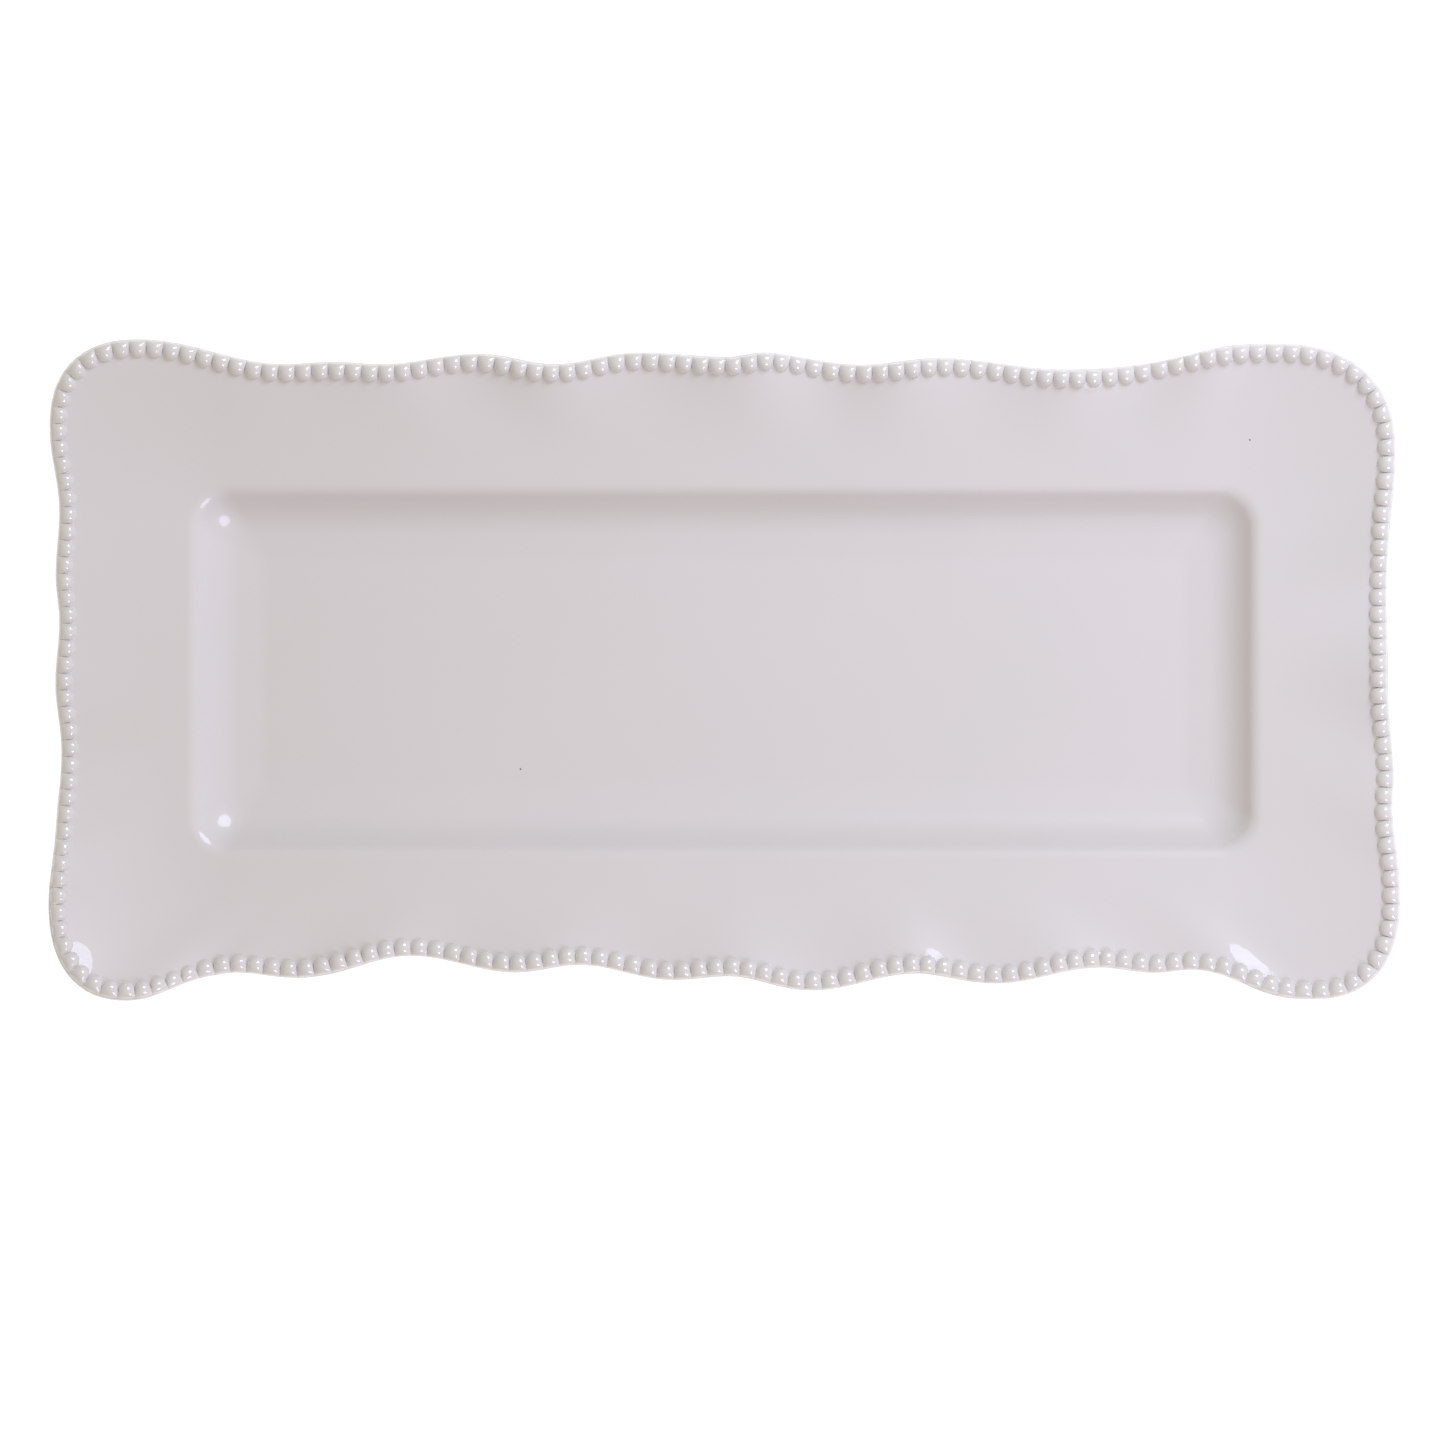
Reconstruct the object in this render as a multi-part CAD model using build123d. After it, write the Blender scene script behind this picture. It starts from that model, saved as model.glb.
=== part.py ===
from build123d import *
import math
import os

# China serving platter: a long rectangular well inside a broad rim that ruffles in plan and in
# height, edged with a row of pearl beads and standing on a low foot ring.
# Millimetres. X runs along the platter, Y from front to back, Z up, Z = 0 under the foot ring.
#
# The well is built from rings of one shape, the rounded rectangle of the verge, which is the line
# where the rim turns down into the well. A ring's inset is its distance inwards from the verge.

# ---- Well ----
VERGE_HALF_X = 203.4
VERGE_HALF_Y = 71.0
VERGE_CORNER = 15.0
CORNER_TIGHTENING = 0.45      # corner radius lost for each millimetre of inset
WELL_DEPTH = 13.0             # from the verge down to the floor
SHOULDER_RADIUS = 7.0
WALL_ANGLE = 53.0             # degrees from level
FLOOR_FILLET = 20.0           # radius at the foot of the wall
APRON_ANGLE = 7.0             # the floor lifts to this slope before the fillet
APRON_LENGTH = 6.5
APRON_RADIUS = 35.0
WALL_THICKNESS = 4.5
ARC_STEP = 6.0                # most degrees between two rings of a round stretch

# ---- Rim ----
RIM_SLOPE_IN = 6.0            # degrees at the verge
RIM_SLOPE_OUT = 16.5          # degrees one rim width further out
RIM_WIDTH = 50.0
RIM_JOIN = 8.0                # the well ends and the rim starts this far outside the verge
RIM_BANDS = 3                 # ruled bands between the join and the edge
RUFFLE_GROWTH = 1.5           # power by which a ruffle grows from the join to the edge
EDGE_THICKNESS = 3.8
LOBE_EXPONENT = 2.4           # superellipse exponent of the rim's four corner lobes
SAMPLE_STEP = 9.0             # most millimetres between the points of an edge curve

# ---- Foot ring ----
FOOT_HEIGHT = 2.5
FOOT_INSET = 31.0             # its outer face, from the verge
FOOT_WIDTH = 6.0
FOOT_CORNER = 9.0
FOOT_ROUNDING = 1.0

# ---- Beads ----
BEAD_RADIUS = 3.1
BEAD_SINK = 0.8               # centre of a pearl below the rim's surface
BEAD_ROOT = 0.5               # a pearl is made this far into the rim, then cut back to its surface
BEAD_OVERHANG = 0.6           # the pearls stand this far outside the rim's own edge
BEAD_PITCH = 6.28
BEAD_TRACE_STEPS = 400        # steps along each stretch of the edge when spacing the pearls

# Crests and troughs of the rim's edge, clockwise from above: (place along the side, distance of
# the edge from the platter's centre line). Each list runs from one corner lobe to the next.
BACK_EDGE = [(-219.0, 123.4), (-165.6, 114.6), (-147.6, 115.2), (-129.9, 114.4), (-94.9, 118.4),
             (-64.9, 114.3), (-32.9, 119.0), (1.7, 116.8), (15.6, 118.6), (54.0, 114.3),
             (84.4, 116.8), (131.4, 112.1), (206.2, 122.0)]
RIGHT_EDGE = [(80.8, 251.4), (47.0, 249.0), (-3.4, 248.4), (-39.9, 251.3), (-51.5, 250.5),
              (-83.5, 253.0)]
FRONT_EDGE = [(220.5, 122.6), (175.0, 112.1), (163.4, 113.1), (141.6, 110.6), (101.7, 117.1),
              (72.8, 112.7), (33.3, 119.5), (1.3, 113.8), (-20.1, 115.6), (-55.5, 109.9),
              (-79.9, 112.5), (-118.3, 106.9), (-163.7, 114.7), (-184.1, 112.9), (-223.2, 122.0)]
LEFT_EDGE = [(-85.7, 252.0), (-30.8, 249.3), (-4.5, 251.3), (18.4, 249.9), (35.7, 251.2),
             (59.8, 249.9), (90.2, 253.0)]

# The ruffles' height at the rim's edge, over the plain rim: (place along the side, lift).
BACK_LIFT = [(-219.0, 0.3), (-170.0, -0.2), (-130.0, 0.8), (-101.0, -1.4), (-70.0, 2.0),
             (-34.0, -1.5), (8.0, 2.6), (36.0, -2.4), (66.0, 2.3), (98.0, -2.0), (131.0, 2.4),
             (162.0, -2.0), (186.0, 1.6), (206.2, 0.0)]
RIGHT_LIFT = [(80.8, 0.0), (53.0, 1.6), (31.0, -2.2), (-1.0, 2.4), (-31.0, -1.5), (-62.0, 0.9),
              (-83.5, 0.0)]
FRONT_LIFT = [(220.5, -1.5), (199.0, 1.3), (165.0, -1.8), (131.0, 1.1), (98.0, -2.0), (72.0, 1.9),
              (38.0, -1.6), (6.5, 1.8), (-32.0, -1.5), (-66.0, 1.2), (-104.0, -1.7), (-139.0, 1.4),
              (-167.0, -0.8), (-195.0, 1.2), (-223.2, 6.5)]
LEFT_LIFT = [(-85.7, 6.0), (-53.0, 1.0), (-27.0, -2.4), (-5.0, -1.4), (18.0, -1.6), (62.0, -1.4),
             (90.2, -1.3)]

VERGE_Z = FOOT_HEIGHT + WALL_THICKNESS + WELL_DEPTH
TOOL_Z = 80.0                 # cutting tools reach this high, well over the beads
CORNER_X = VERGE_HALF_X - VERGE_CORNER
CORNER_Y = VERGE_HALF_Y - VERGE_CORNER


def sind(degrees):
    return math.sin(math.radians(degrees))


def cosd(degrees):
    return math.cos(math.radians(degrees))


def tand(degrees):
    return math.tan(math.radians(degrees))


def eased(points, along):
    """The value at a place on a list of crests and troughs, joined by half-cosine waves."""
    for (start, value), (end, next_value) in zip(points, points[1:]):
        part = (along - start) / (end - start)
        if part <= 1.0:
            return value + (next_value - value) * (1 - math.cos(math.pi * max(part, 0.0))) / 2
    return points[-1][1]


# ---- Plain shape of the rim and the well ----

def rim_rise(distance):
    """Height of the unruffled rim over the verge, at a distance outside the verge."""
    start, end = tand(RIM_SLOPE_IN), tand(RIM_SLOPE_OUT)
    return start * distance + (end - start) * distance ** 2 / (2 * RIM_WIDTH)


def rim_angle(distance):
    """Slope of the unruffled rim, in degrees."""
    start, end = tand(RIM_SLOPE_IN), tand(RIM_SLOPE_OUT)
    return math.degrees(math.atan(start + (end - start) * distance / RIM_WIDTH))


def outside_verge(x, y):
    """Distance of a point outside the verge."""
    over_x = max(abs(x) - CORNER_X, 0.0)
    over_y = max(abs(y) - CORNER_Y, 0.0)
    return math.hypot(over_x, over_y) - VERGE_CORNER


def ring(inset, z):
    """The verge moved in by inset, as a face at height z. Outside the verge it stays concentric."""
    corner = VERGE_CORNER - inset * (CORNER_TIGHTENING if inset > 0 else 1.0)
    return Pos(0, 0, z) * RectangleRounded(2 * (VERGE_HALF_X - inset),
                                           2 * (VERGE_HALF_Y - inset), corner)


def arc_angles(start, end):
    """Slopes of the rings through a round stretch, in degrees, both ends included."""
    steps = math.ceil(abs(end - start) / ARC_STEP)
    return [start + (end - start) * step / steps for step in range(steps + 1)]


def bend(start, radius, end_slope):
    """Rings through a round stretch from a start (run, rise, slope). A negative radius bends down."""
    run, rise, slope = start
    return [(run + radius * (sind(angle) - sind(slope)),
             rise + radius * (cosd(slope) - cosd(angle)), angle)
            for angle in arc_angles(slope, end_slope)]


def straight_on(start, length):
    """The ring at the far end of a straight stretch from a start (run, rise, slope)."""
    run, rise, slope = start
    return run + length * cosd(slope), rise + length * sind(slope), slope


def well_section():
    """The glazed surface from the floor to past the join: (inset, z, slope in degrees)."""
    apron = bend((0.0, 0.0, 0.0), APRON_RADIUS, APRON_ANGLE)
    fillet = bend(straight_on(apron[-1], APRON_LENGTH), FLOOR_FILLET, WALL_ANGLE)
    shoulder_rise = SHOULDER_RADIUS * (cosd(RIM_SLOPE_IN) - cosd(WALL_ANGLE))
    wall_rise = WELL_DEPTH - fillet[-1][1] - shoulder_rise
    wall_top = straight_on(fillet[-1], wall_rise / sind(WALL_ANGLE))
    shoulder = bend(wall_top, -SHOULDER_RADIUS, RIM_SLOPE_IN)
    floor_inset = shoulder[-1][0]
    rows = [(floor_inset - run, VERGE_Z - WELL_DEPTH + rise, slope)
            for run, rise, slope in apron + fillet + shoulder]
    for distance in (RIM_JOIN / 2, RIM_JOIN, RIM_JOIN * 1.5):
        rows.append((-distance, VERGE_Z + rim_rise(distance), rim_angle(distance)))
    return rows


# ---- The rim's edge, as eight stretches clockwise from above ----

def side_stretch(edge, lift, place, join):
    """A straight side: returns a function of 0..1 giving the edge (x, y), the lift and the join."""
    def at(part):
        along = edge[0][0] + (edge[-1][0] - edge[0][0]) * part
        join_along = join[0] + (join[1] - join[0]) * part
        return place(along, eased(edge, along)), eased(lift, along), place(join_along, join[2])
    return at


def lobe_stretch(before, after, turn_start):
    """A corner lobe between two sides: a quarter superellipse, over the join's quarter circle."""
    (from_x, from_y), from_lift, (join_x, join_y) = before(1.0)
    (to_x, to_y), to_lift, _ = after(0.0)
    centre = min([(from_x, to_y), (to_x, from_y)], key=lambda point: math.hypot(*point))
    join_centre = (math.copysign(CORNER_X, join_x), math.copysign(CORNER_Y, join_y))
    join_radius = VERGE_CORNER + RIM_JOIN

    def at(part):
        turn = math.pi / 2 * part
        from_share = max(math.cos(turn), 0.0) ** (2 / LOBE_EXPONENT)
        to_share = math.sin(turn) ** (2 / LOBE_EXPONENT)
        x = centre[0] + from_share * (from_x - centre[0]) + to_share * (to_x - centre[0])
        y = centre[1] + from_share * (from_y - centre[1]) + to_share * (to_y - centre[1])
        angle = turn_start - 90 * part
        join = (join_centre[0] + join_radius * cosd(angle), join_centre[1] + join_radius * sind(angle))
        return (x, y), eased([(0.0, from_lift), (1.0, to_lift)], part), join
    return at


def edge_stretches():
    """The eight stretches of the edge, in order, by name."""
    join_y = VERGE_HALF_Y + RIM_JOIN
    join_x = VERGE_HALF_X + RIM_JOIN
    back = side_stretch(BACK_EDGE, BACK_LIFT, lambda a, out: (a, out), (-CORNER_X, CORNER_X, join_y))
    right = side_stretch(RIGHT_EDGE, RIGHT_LIFT, lambda a, out: (out, a), (CORNER_Y, -CORNER_Y, join_x))
    front = side_stretch(FRONT_EDGE, FRONT_LIFT, lambda a, out: (a, -out), (CORNER_X, -CORNER_X, join_y))
    left = side_stretch(LEFT_EDGE, LEFT_LIFT, lambda a, out: (-out, a), (-CORNER_Y, CORNER_Y, join_x))
    return {
        "back": back, "back_right_corner": lobe_stretch(back, right, 90),
        "right": right, "front_right_corner": lobe_stretch(right, front, 0),
        "front": front, "front_left_corner": lobe_stretch(front, left, -90),
        "left": left, "back_left_corner": lobe_stretch(left, back, -180),
    }


def rim_point(stretch, part, share):
    """A point of the rim's upper surface: share runs from 0 at the join to 1 at the edge."""
    (edge_x, edge_y), lift, (join_x, join_y) = stretch(part)
    x = join_x + (edge_x - join_x) * share
    y = join_y + (edge_y - join_y) * share
    return Vector(x, y, VERGE_Z + rim_rise(outside_verge(x, y)) + lift * share ** RUFFLE_GROWTH)


# ---- The pieces ----

def make_well():
    """Floor, wall and shoulder: an even shell under the glazed surface, cut off at the join."""
    section = well_section()
    hollow = loft([ring(inset, z) for inset, z, slope in section], ruled=True)
    hollow += extrude(ring(section[-1][0], section[-1][1]), TOOL_Z)
    under = [(inset - WALL_THICKNESS * sind(slope), z - WALL_THICKNESS * cosd(slope))
             for inset, z, slope in section]
    block = loft([ring(inset, z) for inset, z in under], ruled=True)
    block += extrude(ring(*under[-1]), 2 * WALL_THICKNESS)
    inside_join = extrude(ring(-RIM_JOIN, -1.0), TOOL_Z)
    return (block & inside_join) - hollow


def rim_wire(stretches, share, thickness):
    """One ring of the rim, lowered by the rim's thickness there for the underside."""
    edges = []
    for stretch in stretches.values():
        (start_x, start_y), _, _ = stretch(0.0)
        (end_x, end_y), _, _ = stretch(1.0)
        count = math.ceil(math.hypot(end_x - start_x, end_y - start_y) / SAMPLE_STEP)
        if share == 0.0:
            count = 2
        points = [rim_point(stretch, step / count, share) - Vector(0, 0, thickness)
                  for step in range(count + 1)]
        if share > 0.0:
            edges.append(Edge.make_spline(points))
        elif abs((points[1] - points[0]).get_angle(points[2] - points[1])) < 1.0:
            edges.append(Edge.make_line(points[0], points[2]))
        else:
            edges.append(Edge.make_three_point_arc(*points))
    return Wire(edges)


def make_rim(stretches):
    """The ruffled flange from the join to the edge, thinning outwards."""
    shares = [band / RIM_BANDS for band in range(RIM_BANDS + 1)]
    join_thickness = WALL_THICKNESS / cosd(rim_angle(RIM_JOIN))
    upper = [rim_wire(stretches, share, 0.0) for share in shares]
    lower = [rim_wire(stretches, share, join_thickness + (EDGE_THICKNESS - join_thickness) * share)
             for share in shares]
    slab = Solid.make_loft(upper + lower[::-1], ruled=True)
    return slab - extrude(ring(-RIM_JOIN, -1.0), TOOL_Z)


def make_foot_ring():
    """The bare ring of clay that the platter stands on, rounded at its two lower edges."""
    outer = RectangleRounded(2 * (VERGE_HALF_X - FOOT_INSET), 2 * (VERGE_HALF_Y - FOOT_INSET),
                             FOOT_CORNER)
    inner = RectangleRounded(2 * (VERGE_HALF_X - FOOT_INSET - FOOT_WIDTH),
                             2 * (VERGE_HALF_Y - FOOT_INSET - FOOT_WIDTH),
                             FOOT_CORNER - FOOT_WIDTH)
    foot = extrude(outer - inner, FOOT_HEIGHT)
    return fillet(foot.edges().group_by(Axis.Z)[0], FOOT_ROUNDING)


def bead_plane(stretch, part):
    """Where a pearl sits: on the rim's outermost band, with its outer side over the edge."""
    nudge = 1e-3
    edge = rim_point(stretch, part, 1.0)
    ahead = rim_point(stretch, min(part + nudge, 1.0), 1.0)
    behind = rim_point(stretch, max(part - nudge, 0.0), 1.0)
    along = (ahead - behind).normalized()
    inward = (rim_point(stretch, part, 1 - 1 / RIM_BANDS) - edge).normalized()
    square_in = inward - along * inward.dot(along)
    reach = (BEAD_RADIUS - BEAD_OVERHANG) / square_in.length
    return Plane(origin=edge + inward * reach, x_dir=along, z_dir=square_in.cross(along))


def make_beads(stretches):
    """Pearls at even spacing round the whole edge, grouped by stretch."""
    trace = [(name, step / BEAD_TRACE_STEPS) for name in stretches for step in range(BEAD_TRACE_STEPS)]
    places = [bead_plane(stretches[name], part).origin for name, part in trace]
    lengths = [0.0]
    for place, following in zip(places, places[1:] + places[:1]):
        lengths.append(lengths[-1] + (following - place).length)
    count = round(lengths[-1] / BEAD_PITCH)
    pearl = Pos(0, 0, -BEAD_SINK) * Sphere(BEAD_RADIUS)
    pearl -= Pos(0, 0, -BEAD_RADIUS - BEAD_ROOT) * Box(*[3 * BEAD_RADIUS] * 2, 2 * BEAD_RADIUS)
    groups = {name: [] for name in stretches}
    position = 0
    for bead in range(count):
        target = lengths[-1] * (bead + 0.5) / count
        while lengths[position + 1] < target:
            position += 1
        within = (target - lengths[position]) / (lengths[position + 1] - lengths[position])
        name, part = trace[position]
        plane = bead_plane(stretches[name], part + within / BEAD_TRACE_STEPS)
        groups[name].append(pearl.solid().moved(plane.location))
    print("beads", count, "pitch", round(lengths[-1] / count, 3), "mm")
    return groups


def main():
    os.makedirs("parts", exist_ok=True)
    stretches = edge_stretches()
    rim = make_rim(stretches)
    export_step(make_well(), "parts/well.step")
    export_step(rim, "parts/rim.step")
    export_step(make_foot_ring(), "parts/foot_ring.step")
    for name, pearls in make_beads(stretches).items():
        seated = [(pearl - rim).solids().sort_by(SortBy.VOLUME)[-1] for pearl in pearls]
        export_step(Compound(seated), f"parts/beads_{name}.step")


main()
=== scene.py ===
import math

import bmesh
import bpy
import numpy as np
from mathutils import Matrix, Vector


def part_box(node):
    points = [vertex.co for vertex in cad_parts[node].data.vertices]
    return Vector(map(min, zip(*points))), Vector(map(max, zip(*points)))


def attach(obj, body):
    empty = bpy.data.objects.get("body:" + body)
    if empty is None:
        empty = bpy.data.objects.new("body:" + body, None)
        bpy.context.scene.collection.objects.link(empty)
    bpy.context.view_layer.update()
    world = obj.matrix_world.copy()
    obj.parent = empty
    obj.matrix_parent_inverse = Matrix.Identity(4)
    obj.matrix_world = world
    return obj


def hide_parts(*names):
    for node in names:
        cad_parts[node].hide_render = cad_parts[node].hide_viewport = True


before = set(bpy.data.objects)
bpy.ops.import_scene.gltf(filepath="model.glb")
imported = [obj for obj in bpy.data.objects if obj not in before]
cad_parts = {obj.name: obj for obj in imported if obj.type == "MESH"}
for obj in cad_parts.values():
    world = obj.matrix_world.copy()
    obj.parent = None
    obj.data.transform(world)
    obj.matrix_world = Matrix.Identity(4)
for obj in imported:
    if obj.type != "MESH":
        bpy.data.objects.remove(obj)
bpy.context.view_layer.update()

# China serving platter: one glazed body with a ruffled rim, eight runs of pearl beading round its
# edge, and the bare foot ring of the CAD model. Metres, in the CAD frame.
#
# Every ring of the body, and the row of pearls, is followed by one number, the place: it counts
# pearls clockwise from above, from the groove before the first pearl of the back side. So the
# grooves are at whole numbers and the centres of the pearls at the halves between them.

# ---- Section of the well and the rim, as in the CAD model ----
RIM_JOIN = 0.008              # the CAD well ends this far outside the verge
VERGE_CORNER = 0.015
CORNER_TIGHTENING = 0.45      # corner radius lost for each metre of inset
WELL_DEPTH = 0.013
SHOULDER_RADIUS = 0.007
WALL_ANGLE = math.radians(53)
FLOOR_FILLET = 0.020
APRON_ANGLE = math.radians(7)
APRON_LENGTH = 0.0065
APRON_RADIUS = 0.035
WALL_THICKNESS = 0.0045
EDGE_THICKNESS = 0.0038
RIM_WIDTH = 0.050
RIM_SLOPE_IN = math.radians(6)
RIM_SLOPE_OUT = math.radians(16.5)
RUFFLE_GROWTH = 1.5           # power by which a ruffle grows from the join to the edge

# ---- Pearls ----
MERGE_DISTANCE = 0.000001     # points of the CAD mesh nearer than this are one point
CAD_CAP_DEPTH = 0.0012        # this much of a CAD pearl's top is surely part of its sphere
PEARL_SINK = 0.0008           # centre of a pearl below the rim's surface
EDGE_REACH = 0.0032           # the rounded edge of the rim lies this far outside the pearl centres
PEARL_OUTSIDE = 0.0032        # reach of a pearl from its centre outwards, inwards, up and down
PEARL_INSIDE = 0.0037
PEARL_TOP = 0.0030
PEARL_ROOT = 0.0024
PEARL_LENGTH_EXPONENT = 2.1   # squareness of a pearl along the row
PEARL_SECTION_EXPONENT = 2.0  # squareness of a pearl across the row
GROOVE_OUTSIDE = 0.06         # share of that reach lost in the groove between two pearls
GROOVE_INSIDE = 0.85
GROOVE_TOP = 0.85
GROOVE_BLEND = 4              # power of the cosine that blends one depth into the next
NEAR_EDGE = 0.95              # share of the rim from which its slope at the pearls is taken

# ---- Mesh density ----
SIDE_COLUMNS = {"back": 144, "right": 56, "front": 144, "left": 56}
CORNER_COLUMNS = 20
ARC_ROWS = 10                 # rows in each round stretch of the well's section
RIM_ROWS = 16
EDGE_ROWS = 8                 # rows round the half circle of the edge
PEARL_STEPS = 12              # along one pearl
PEARL_SIDES = 24              # round one pearl

# ---- Glaze and clay: each colour and roughness drifts between two values ----
CHINA_COLOURS = (0.83, 0.795, 0.815), (0.81, 0.785, 0.795)
BEADING_COLOURS = (0.85, 0.82, 0.83), (0.83, 0.81, 0.80)
CLAY_COLOURS = (0.82, 0.79, 0.74), (0.72, 0.69, 0.63)
CHINA_GLOSS = 0.6             # share of the surface under the glossy layer
BEADING_GLOSS = 1.0
CHINA_REFRACTION = 1.5        # index of the glossy layer
BEADING_REFRACTION = 1.7
GLOSS_ROUGHNESS = 0.02
BODY_REFRACTION = 1.5         # index of the satin body under the glossy layer
BODY_SPECULAR = 0.3
BODY_ROUGHNESS = 0.30, 0.42
CLAY_ROUGHNESS = 0.78, 0.95
GLAZE_SAG = 0.00012           # height of the glaze's slow waves
GLAZE_PEEL = 0.000004         # height of its fine orange peel
CLAY_GRAIN = 0.00004
SPECKS = ((-0.0776, -0.0372), (0.1983, 0.0872))     # pinholes in the well and on the rim
SPECK_RADIUS = 0.0003
SPECK_FADE = 0.7, 1.3         # a speck fades out between these shares of its radius
SPECK_COLOUR = (0.05, 0.045, 0.045)

# ---- Noise patterns: features per metre, octaves of detail ----
COLOUR_DRIFT = 14.0, 3.0
SATIN_DRIFT = 60.0, 2.0
SAG_WAVES = 24.0, 1.0
ORANGE_PEEL = 300.0, 2.0
CLAY_PATCHES = 120.0, 5.0
CLAY_WEAR = 400.0, 3.0
CLAY_GRAINS = 2500.0, 4.0
NOISE_RANGE = 0.3, 0.7        # nearly all of Blender's noise lies between these
MIX_FACTOR, MIX_FIRST, MIX_SECOND, MIX_RESULT = 0, 6, 7, 2          # sockets of a Mix node of colours

# ---- Studio ----
SOFTBOXES = {                 # place, diameter, radiance, colour
    "key_softbox": ((0.55, 0.7, 0.8), 0.56, 8.3, (0.725, 0.786, 1.0)),
    "fill_softbox": ((0.55, -0.7, 0.8), 0.47, 6.9, (0.76, 0.744, 1.0)),
}
WORLD_STRENGTH = 0.488
WORLD_COLOUR = (1.0, 0.925, 0.745)
FLOOR_HALF = 4.0
FLOOR_GREY = 0.35
FLOOR_GLOW = 0.84
CAMERA_PLACE = (-0.00175, -0.01855, 2.232)          # the photograph's, looking straight down
CAMERA_LENS = 146.3

SIDES = ("back", "right", "front", "left")
CORNERS = ("back_right_corner", "front_right_corner", "front_left_corner", "back_left_corner")
RUNS = [name for pair in zip(SIDES, CORNERS) for name in pair]

well_low, well_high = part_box("well")
VERGE_HALF_X = well_high.x - RIM_JOIN
VERGE_HALF_Y = well_high.y - RIM_JOIN
VERGE_Z = well_low.z + WALL_THICKNESS + WELL_DEPTH


# ---- Reading the row of pearls from the CAD model ----

def separate_solids(node):
    """The points of each separate solid of a CAD node.

    They are sorted, because the order of a set of vertices differs from run to run."""
    mesh = bmesh.new()
    mesh.from_mesh(node.data)
    bmesh.ops.remove_doubles(mesh, verts=mesh.verts, dist=MERGE_DISTANCE)
    left = set(mesh.verts)
    solids = []
    while left:
        waiting = [left.pop()]
        points = []
        while waiting:
            vertex = waiting.pop()
            points.append(tuple(vertex.co))
            linked = {edge.other_vert(vertex) for edge in vertex.link_edges} & left
            left -= linked
            waiting.extend(linked)
        solids.append(sorted(points))
    mesh.free()
    return [np.array(points) for points in sorted(solids)]


def sphere_centre(points):
    """Centre of the sphere that the top of a CAD pearl lies on."""
    upper = points[points[:, 2] > points[:, 2].max() - CAD_CAP_DEPTH]
    rows = np.hstack([2 * upper, np.ones((len(upper), 1))])
    return np.linalg.lstsq(rows, (upper ** 2).sum(axis=1), rcond=None)[0][:3]


def read_pearls():
    """The pearl centres clockwise from above, and the place where each run starts and the last ends."""
    centres = []
    starts = [0]
    for run in RUNS:
        solids = separate_solids(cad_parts["beads_" + run])
        found = np.array([sphere_centre(points) for points in solids])
        middle = found.mean(axis=0)
        clockwise = np.array([middle[1], -middle[0]])
        if run in SIDES:
            clockwise = np.array([round(c / np.abs(clockwise).max()) for c in clockwise])
        centres.extend(found[np.argsort(found[:, :2] @ clockwise)])
        starts.append(starts[-1] + len(found))
    return np.array(centres), starts


pearls, run_starts = read_pearls()


def pearl_line(place):
    """The closed Catmull-Rom line through the pearl centres: its points, and its level outward side."""
    index = np.floor(place - 0.5).astype(int)
    t = (place - 0.5 - index)[:, None]
    p0, p1, p2, p3 = (pearls[(index + step) % len(pearls)] for step in (-1, 0, 1, 2))
    speed = (p2 - p0) / 2
    square = p0 - 2.5 * p1 + 2 * p2 - 0.5 * p3
    cube = 1.5 * (p1 - p2) + 0.5 * (p3 - p0)
    points = p1 + t * (speed + t * (square + t * cube))
    along = speed + t * (2 * square + 3 * t * cube)
    outward = np.stack([-along[:, 1], along[:, 0], np.zeros(len(place))], axis=1)
    return points, outward / np.linalg.norm(outward, axis=1, keepdims=True)


# ---- Surfaces of the body ----

def rim_rise(distance):
    """Height of the unruffled rim over the verge, at a distance outside the verge."""
    start, end = math.tan(RIM_SLOPE_IN), math.tan(RIM_SLOPE_OUT)
    return start * distance + (end - start) * distance ** 2 / (2 * RIM_WIDTH)


def plain_height(points):
    """Height of the unruffled rim at each point."""
    over_x = np.maximum(np.abs(points[:, 0]) - (VERGE_HALF_X - VERGE_CORNER), 0)
    over_y = np.maximum(np.abs(points[:, 1]) - (VERGE_HALF_Y - VERGE_CORNER), 0)
    return VERGE_Z + rim_rise(np.hypot(over_x, over_y) - VERGE_CORNER)


def ring(place, inset, z):
    """Points of the verge moved in by inset, at height z. Outside the verge it stays concentric."""
    corner = VERGE_CORNER - inset * (CORNER_TIGHTENING if inset > 0 else 1.0)
    across_x = np.interp(place, run_starts, [-1, 1, 1, 1, 1, -1, -1, -1, -1])
    across_y = np.interp(place, run_starts, [1, 1, 1, -1, -1, -1, -1, 1, 1])
    turn = np.interp(place, run_starts, np.radians([90, 90, 0, 0, -90, -90, -180, -180, -270]))
    x = across_x * (VERGE_HALF_X - inset - corner) + corner * np.cos(turn)
    y = across_y * (VERGE_HALF_Y - inset - corner) + corner * np.sin(turn)
    return np.stack([x, y, np.full(len(place), z)], axis=1)


def rim_point(place, share):
    """Points of the rim's upper surface: share runs from 0 at the join to 1 at the edge's rounding."""
    centre, outward = pearl_line(place)
    up = np.array([0.0, 0.0, 1.0])
    foot = centre + PEARL_SINK * (up * math.cos(RIM_SLOPE_OUT) - outward * math.sin(RIM_SLOPE_OUT))
    brink = foot + outward * (EDGE_REACH - EDGE_THICKNESS / 2) * math.cos(RIM_SLOPE_OUT)
    join = ring(place, -RIM_JOIN, 0.0)
    whole = np.linalg.norm((brink - join)[:, :2], axis=1)
    foot_share = np.linalg.norm((foot - join)[:, :2], axis=1) / whole
    lift = (foot[:, 2] - plain_height(foot)) / foot_share ** RUFFLE_GROWTH
    points = join + (brink - join) * share
    points[:, 2] = plain_height(points) + lift * share ** RUFFLE_GROWTH
    return points


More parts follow.
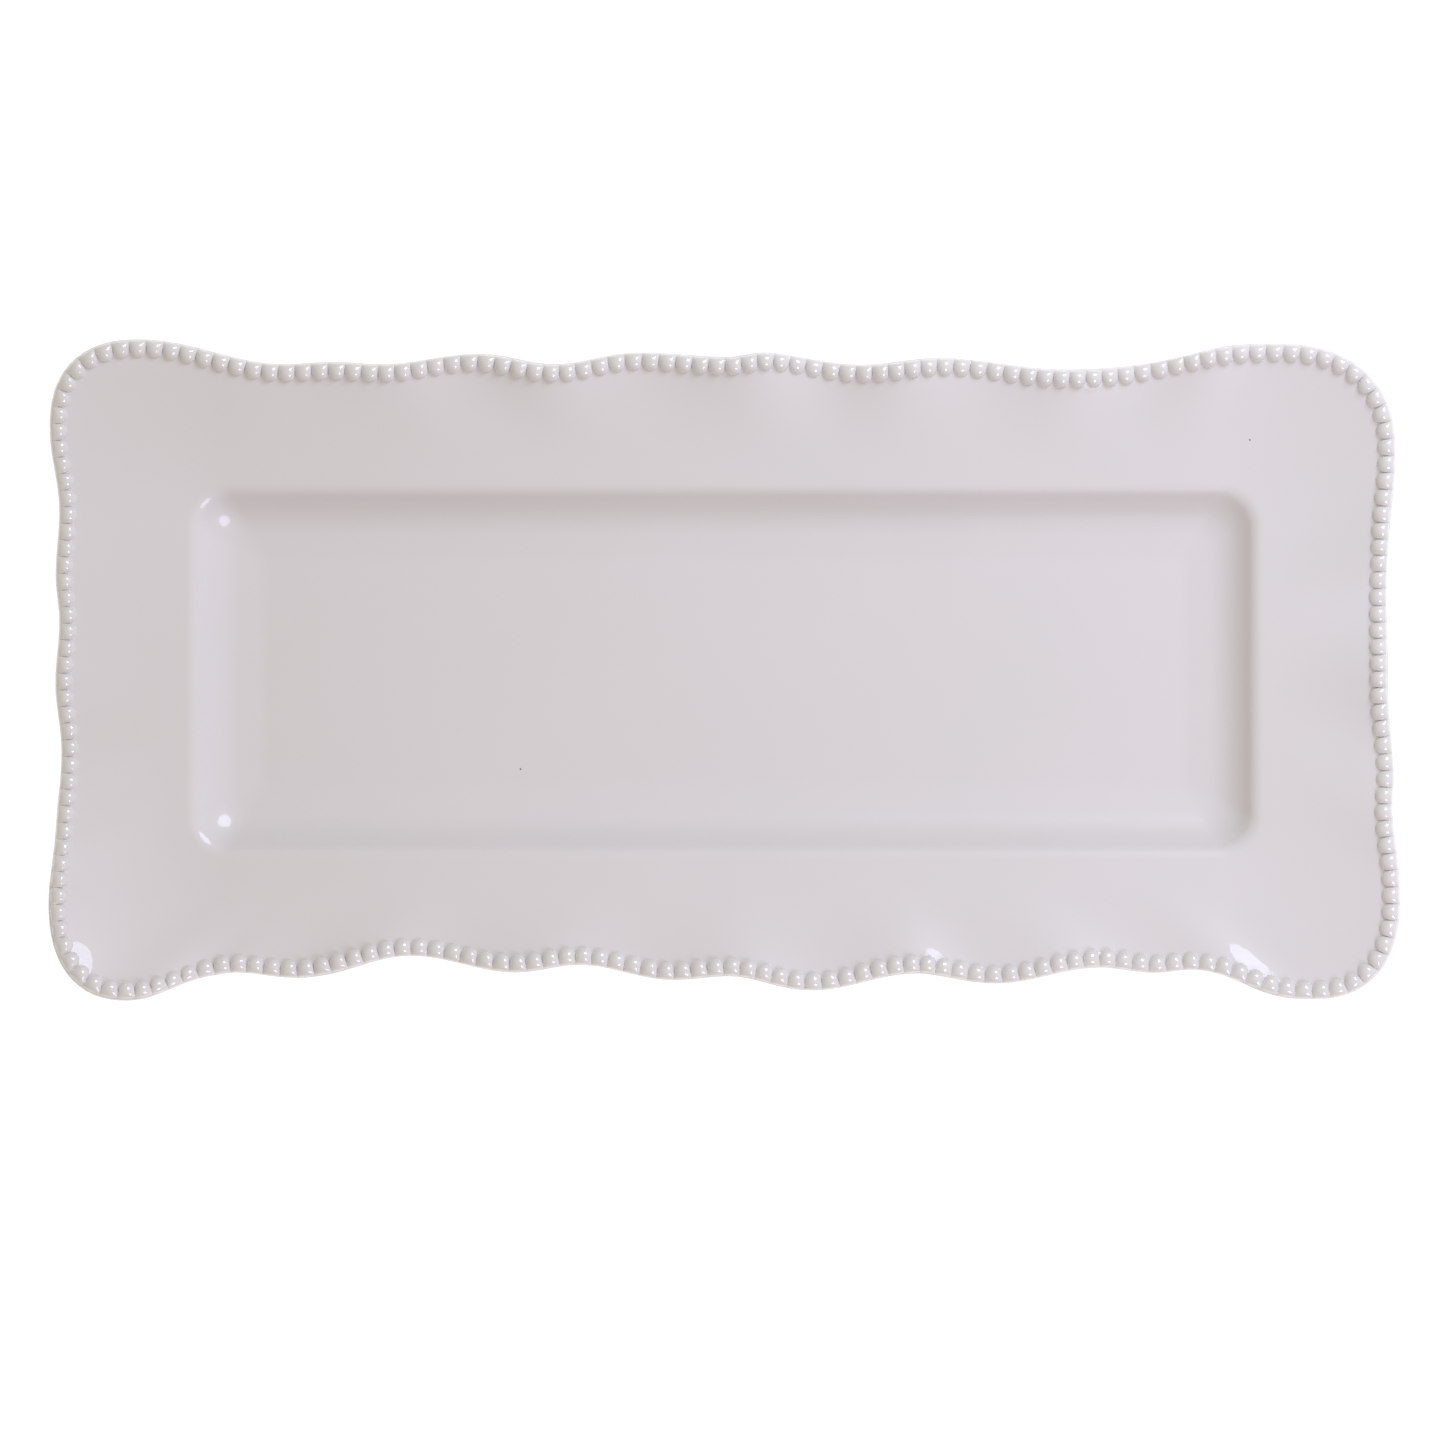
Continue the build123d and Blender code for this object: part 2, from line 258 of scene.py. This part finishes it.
def bend(start, radius, end_slope):
    """A round stretch from a start (run, rise, slope). A negative radius bends down."""
    run, rise, slope = start
    return [(run + radius * (math.sin(angle) - math.sin(slope)),
             rise + radius * (math.cos(slope) - math.cos(angle)), angle)
            for angle in np.linspace(slope, end_slope, ARC_ROWS)]


def straight_on(start, length):
    """The far end of a straight stretch from a start (run, rise, slope)."""
    run, rise, slope = start
    return run + length * math.cos(slope), rise + length * math.sin(slope), slope


def well_rows(place):
    """Rings of the glazed surface from the edge of the flat floor out to the verge."""
    apron = bend((0.0, 0.0, 0.0), APRON_RADIUS, APRON_ANGLE)
    fillet = bend(straight_on(apron[-1], APRON_LENGTH), FLOOR_FILLET, WALL_ANGLE)
    shoulder_rise = SHOULDER_RADIUS * (math.cos(RIM_SLOPE_IN) - math.cos(WALL_ANGLE))
    wall_rise = WELL_DEPTH - fillet[-1][1] - shoulder_rise
    wall_top = straight_on(fillet[-1], wall_rise / math.sin(WALL_ANGLE))
    shoulder = bend(wall_top, -SHOULDER_RADIUS, RIM_SLOPE_IN)
    floor_inset = shoulder[-1][0]
    return [ring(place, floor_inset - run, VERGE_Z - WELL_DEPTH + rise)
            for run, rise, slope in apron + fillet + shoulder]


def upper_rows(place):
    """The whole glazed upper surface as rings, from the flat floor to the rounding of the edge."""
    rows = well_rows(place)
    rows.append(ring(place, -RIM_JOIN / 2, VERGE_Z + rim_rise(RIM_JOIN / 2)))
    rows += [rim_point(place, share) for share in np.linspace(0, 1, RIM_ROWS)]
    return np.array(rows)


def upward_normals(rows):
    """Unit normals of rings of points that run clockwise and from the middle outwards."""
    round_ring = np.roll(rows, -1, axis=1) - np.roll(rows, 1, axis=1)
    normals = np.cross(round_ring, np.gradient(rows, axis=0))
    return normals / np.linalg.norm(normals, axis=2, keepdims=True)


# ---- Meshes ----

def ring_quads(rows, columns):
    """Quads between each ring of points and the next."""
    here = np.arange(rows * columns).reshape(rows, columns)
    beside = np.roll(here, -1, axis=1)
    return np.stack([here[:-1], beside[:-1], beside[1:], here[1:]], axis=-1).reshape(-1, 4)


def filled_ring(points, ids, across, down):
    """The inner points and the quads of a grid that fills a ring of points, given by their ids.

    The ring starts at a corner of the grid and goes across, down, across and down its border."""
    grid = np.zeros((across + 1, down + 1), int)
    grid[:, 0] = ids[:across + 1]
    grid[across, :] = ids[across:across + down + 1]
    grid[::-1, down] = ids[across + down:2 * across + down + 1]
    grid[0, ::-1] = np.append(ids[2 * across + down:], ids[0])
    place = points[grid]
    u = np.linspace(0, 1, across + 1)[:, None, None]
    v = np.linspace(0, 1, down + 1)[None, :, None]
    between_ends = (1 - u) * place[:1] + u * place[-1:]
    between_sides = (1 - v) * place[:, :1] + v * place[:, -1:]
    near_corners = (1 - u) * place[:1, :1] + u * place[-1:, :1]
    far_corners = (1 - u) * place[:1, -1:] + u * place[-1:, -1:]
    filled = between_ends + between_sides - (1 - v) * near_corners - v * far_corners
    inner = filled[1:-1, 1:-1]
    grid[1:-1, 1:-1] = len(points) + np.arange(inner[..., 0].size).reshape(inner.shape[:2])
    quads = np.stack([grid[:-1, :-1], grid[:-1, 1:], grid[1:, 1:], grid[1:, :-1]], axis=-1)
    return inner.reshape(-1, 3), quads.reshape(-1, 4)


def add_piece(name, points, quads, material, slot, *nodes):
    """A smooth mesh piece that rides on the platter's body and stands for some CAD nodes."""
    mesh = bpy.data.meshes.new(name)
    mesh.from_pydata([tuple(point) for point in points], [], [tuple(quad) for quad in quads.tolist()])
    mesh.polygons.foreach_set("use_smooth", [True] * len(mesh.polygons))
    mesh.materials.append(material)
    piece = bpy.data.objects.new(name, mesh)
    bpy.context.scene.collection.objects.link(piece)
    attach(piece, "root")
    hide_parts(*nodes)
    return piece


def body_places():
    """The places of the body's columns: even within each side and each corner."""
    places = []
    for run, start, end in zip(RUNS, run_starts, run_starts[1:]):
        columns = SIDE_COLUMNS.get(run, CORNER_COLUMNS)
        places.append(np.linspace(start, end, columns, endpoint=False))
    return np.concatenate(places)


def rounded_edge(upper, lower, normals):
    """Rings round the half circle from the upper surface's last ring to the underside's first."""
    middle = (upper + lower) / 2
    round_ring = np.roll(upper, -1, axis=0) - np.roll(upper, 1, axis=0)
    outward = np.cross(normals, round_ring)
    outward /= np.linalg.norm(outward, axis=1, keepdims=True)
    turns = np.linspace(0, math.pi, EDGE_ROWS + 1)[1:-1]
    return [middle + EDGE_THICKNESS / 2 * (math.cos(turn) * normals + math.sin(turn) * outward)
            for turn in turns]


def make_body(material):
    """Well and rim as one closed shell: upper surface, rounded edge, underside, and both floors."""
    upper = upper_rows(body_places())
    normals = upward_normals(upper)
    thickness = np.linspace(WALL_THICKNESS, EDGE_THICKNESS, len(upper))[:, None, None]
    lower = (upper - normals * thickness)[::-1]
    rows = np.concatenate([upper, rounded_edge(upper[-1], lower[0], normals[-1]), lower])
    columns = rows.shape[1]
    points = rows.reshape(-1, 3)
    quads = [ring_quads(len(rows), columns)]
    across = SIDE_COLUMNS["back"] + CORNER_COLUMNS
    down = SIDE_COLUMNS["left"] + CORNER_COLUMNS
    for row in (0, len(rows) - 1):
        ids = np.roll(row * columns + np.arange(columns), CORNER_COLUMNS // 2)
        inner, patch = filled_ring(points, ids, across, down)
        points = np.concatenate([points, inner])
        quads.append(patch if row == 0 else patch[:, ::-1])
    return add_piece("platter_body", points, np.concatenate(quads), material, "glazed_china",
                     "well", "rim")


def pearl_section():
    """One turn round a full pearl: distances outwards and upwards, and the groove's depth there."""
    turn = np.linspace(0, 2 * math.pi, PEARL_SIDES, endpoint=False)
    across, level = np.cos(turn), np.sin(turn)
    power = 2 / PEARL_SECTION_EXPONENT
    out = np.sign(across) * np.abs(across) ** power
    out *= np.where(across > 0, PEARL_OUTSIDE, PEARL_INSIDE)
    up = np.sign(level) * np.abs(level) ** power
    up *= np.where(level > 0, PEARL_TOP, PEARL_ROOT)
    groove_there = np.where(across > 0, GROOVE_OUTSIDE, GROOVE_INSIDE)
    depth = GROOVE_TOP + (groove_there - GROOVE_TOP) * across ** GROOVE_BLEND
    return out, up, depth


def pearl_rows(place):
    """Rings round the row of pearls, full at each pearl's centre and drawn in at each groove."""
    fullness = (1 - np.abs(2 * (place % 1) - 1) ** PEARL_LENGTH_EXPONENT) ** (1 / PEARL_LENGTH_EXPONENT)
    centre, level = pearl_line(place)
    slope = rim_point(place, 1.0) - rim_point(place, NEAR_EDGE)
    along = np.cross(level, [0.0, 0.0, 1.0])
    outward = slope - along * (slope * along).sum(axis=1, keepdims=True)
    outward /= np.linalg.norm(outward, axis=1, keepdims=True)
    upward = np.cross(along, outward)
    upward *= np.sign(upward[:, 2:])
    out, up, depth = pearl_section()
    size = 1 - depth[None, :] * (1 - fullness[:, None])
    return (centre[:, None] + (size * out)[..., None] * outward[:, None]
            + (size * up)[..., None] * upward[:, None])


def make_pearls(run, start, end, material):
    """A run of pearls as one closed tube, with its rings closest together at the grooves."""
    steps = (1 - np.cos(np.linspace(0, math.pi, PEARL_STEPS + 1)[:-1])) / 2
    rows = pearl_rows(np.append((np.arange(start, end)[:, None] + steps).ravel(), end))
    quads = ring_quads(len(rows), PEARL_SIDES)
    ladder = np.arange(PEARL_SIDES // 2 - 1)
    cap = np.stack([ladder, ladder + 1, PEARL_SIDES - 2 - ladder, PEARL_SIDES - 1 - ladder], axis=-1)
    last = (len(rows) - 1) * PEARL_SIDES
    quads = np.concatenate([quads, cap[:, ::-1], cap + last])
    return add_piece("pearls_" + run, rows.reshape(-1, 3), quads, material, "glazed_beads",
                     "beads_" + run)


# ---- Materials ----

def add_node(tree, kind, inputs=None, **settings):
    """A shader node with its settings and input values."""
    made = tree.nodes.new(kind)
    for name, value in settings.items():
        setattr(made, name, value)
    for name, value in (inputs or {}).items():
        made.inputs[name].default_value = value
    return made


def noise(tree, pattern):
    """Noise in the frame's own coordinates."""
    scale, detail = pattern
    where = add_node(tree, "ShaderNodeTexCoord").outputs["Object"]
    made = add_node(tree, "ShaderNodeTexNoise", {"Scale": scale, "Detail": detail})
    tree.links.new(where, made.inputs["Vector"])
    return made.outputs["Fac"]


def spread(tree, value, low=0, high=1):
    """Noise stretched to run from low to high."""
    made = add_node(tree, "ShaderNodeMapRange",
                    {"From Min": NOISE_RANGE[0], "From Max": NOISE_RANGE[1],
                     "To Min": low, "To Max": high})
    tree.links.new(value, made.inputs["Value"])
    return made.outputs["Result"]


def blend_colours(tree, factor, first, second):
    """A colour that goes from first to second with factor."""
    made = add_node(tree, "ShaderNodeMix", data_type="RGBA")
    made.inputs[MIX_FIRST].default_value = (*first, 1)
    made.inputs[MIX_SECOND].default_value = (*second, 1)
    tree.links.new(factor, made.inputs[MIX_FACTOR])
    return made.outputs[MIX_RESULT]


def add_speck(material, place):
    """A dark pinhole in a glaze, at a place on the surface."""
    tree = material.node_tree
    socket = tree.nodes["Principled BSDF"].inputs["Base Color"]
    glaze_colour = socket.links[0].from_socket
    where = add_node(tree, "ShaderNodeTexCoord").outputs["Object"]
    gap = add_node(tree, "ShaderNodeVectorMath", operation="DISTANCE")
    gap.inputs[1].default_value = place
    tree.links.new(where, gap.inputs[0])
    outside = add_node(tree, "ShaderNodeMapRange",
                       {"From Min": SPECK_FADE[0] * SPECK_RADIUS,
                        "From Max": SPECK_FADE[1] * SPECK_RADIUS})
    tree.links.new(gap.outputs["Value"], outside.inputs["Value"])
    mixed = blend_colours(tree, outside.outputs["Result"], SPECK_COLOUR, (0, 0, 0))
    tree.links.new(glaze_colour, mixed.node.inputs[MIX_SECOND])
    tree.links.new(mixed, socket)


def bump(tree, height, distance, below=None):
    """A bump of that height in metres, on top of another bump if given."""
    made = add_node(tree, "ShaderNodeBump", {"Distance": distance, "Strength": 1.0})
    tree.links.new(height, made.inputs["Height"])
    if below:
        tree.links.new(below, made.inputs["Normal"])
    return made.outputs["Normal"]


def glaze(name, colours, gloss, refraction):
    """White glaze over fired clay: a satin body colour under a clear layer of that gloss."""
    material = bpy.data.materials.new(name)
    material.use_nodes = True
    tree = material.node_tree
    shader = tree.nodes["Principled BSDF"]
    colour = blend_colours(tree, spread(tree, noise(tree, COLOUR_DRIFT)), *colours)
    tree.links.new(colour, shader.inputs["Base Color"])
    roughness = spread(tree, noise(tree, SATIN_DRIFT), *BODY_ROUGHNESS)
    tree.links.new(roughness, shader.inputs["Roughness"])
    sag = bump(tree, noise(tree, SAG_WAVES), GLAZE_SAG)
    peel = bump(tree, noise(tree, ORANGE_PEEL), GLAZE_PEEL, sag)
    tree.links.new(peel, shader.inputs["Normal"])
    tree.links.new(peel, shader.inputs["Coat Normal"])
    shader.inputs["IOR"].default_value = BODY_REFRACTION
    shader.inputs["Specular IOR Level"].default_value = BODY_SPECULAR
    shader.inputs["Coat Weight"].default_value = gloss
    shader.inputs["Coat Roughness"].default_value = GLOSS_ROUGHNESS
    shader.inputs["Coat IOR"].default_value = refraction
    return material


def bare_clay():
    """The unglazed foot: chalky and finely grained."""
    material = bpy.data.materials.new("bare_clay")
    material.use_nodes = True
    tree = material.node_tree
    shader = tree.nodes["Principled BSDF"]
    colour = blend_colours(tree, spread(tree, noise(tree, CLAY_PATCHES)), *CLAY_COLOURS)
    tree.links.new(colour, shader.inputs["Base Color"])
    roughness = spread(tree, noise(tree, CLAY_WEAR), *CLAY_ROUGHNESS)
    tree.links.new(roughness, shader.inputs["Roughness"])
    grain = bump(tree, noise(tree, CLAY_GRAINS), CLAY_GRAIN)
    tree.links.new(grain, shader.inputs["Normal"])
    return material


def floor_material():
    """A grey floor that glows enough to look white, with little shadow round the platter."""
    material = bpy.data.materials.new("studio_floor")
    material.use_nodes = True
    shader = material.node_tree.nodes["Principled BSDF"]
    shader.inputs["Base Color"].default_value = (FLOOR_GREY, FLOOR_GREY, FLOOR_GREY, 1)
    shader.inputs["Roughness"].default_value = 1.0
    shader.inputs["Specular IOR Level"].default_value = 0.0
    shader.inputs["Emission Color"].default_value = (1, 1, 1, 1)
    shader.inputs["Emission Strength"].default_value = FLOOR_GLOW
    return material


# ---- Stage, light and camera ----

def make_floor():
    """A square floor under the foot ring."""
    mesh = bpy.data.meshes.new("floor")
    corners = [(-1, -1), (1, -1), (1, 1), (-1, 1)]
    mesh.from_pydata([(x * FLOOR_HALF, y * FLOOR_HALF, 0) for x, y in corners], [], [(0, 1, 2, 3)])
    mesh.materials.append(floor_material())
    floor = bpy.data.objects.new("floor", mesh)
    bpy.context.scene.collection.objects.link(floor)


def softbox(name, place, diameter, radiance, colour):
    """A round light aimed at the platter. Radiance 1 is as bright as a white wall in the picture."""
    light = bpy.data.lights.new(name, "AREA")
    light.shape = "DISK"
    light.size = diameter
    light.energy = radiance * math.pi * math.pi * diameter ** 2 / 4
    light.color = colour
    holder = bpy.data.objects.new(name, light)
    holder.location = place
    holder.rotation_euler = (-Vector(place)).to_track_quat("-Z", "Y").to_euler()
    bpy.context.scene.collection.objects.link(holder)


def make_world():
    """Even warm light from all round."""
    world = bpy.data.worlds.new("studio")
    world.use_nodes = True
    background = world.node_tree.nodes["Background"]
    background.inputs["Color"].default_value = (*WORLD_COLOUR, 1)
    background.inputs["Strength"].default_value = WORLD_STRENGTH
    bpy.context.scene.world = world


def make_camera():
    """The photograph's view: straight down, from far enough for little perspective."""
    camera = bpy.data.objects.new("camera", bpy.data.cameras.new("camera"))
    camera.data.lens = CAMERA_LENS
    camera.location = CAMERA_PLACE
    bpy.context.scene.collection.objects.link(camera)
    bpy.context.scene.camera = camera


def main():
    china = glaze("glazed_china", CHINA_COLOURS, CHINA_GLOSS, CHINA_REFRACTION)
    beading = glaze("glazed_beads", BEADING_COLOURS, BEADING_GLOSS, BEADING_REFRACTION)
    body = make_body(china)
    for x, y in SPECKS:
        add_speck(china, body.ray_cast((x, y, 1), (0, 0, -1))[1])
    for run, start, end in zip(RUNS, run_starts, run_starts[1:]):
        make_pearls(run, start, end, beading)
    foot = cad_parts["foot_ring"]
    foot.data.materials.clear()
    foot.data.materials.append(bare_clay())
    make_floor()
    for name, settings in SOFTBOXES.items():
        softbox(name, *settings)
    make_world()
    make_camera()
    bpy.context.scene.view_settings.view_transform = "Standard"


main()
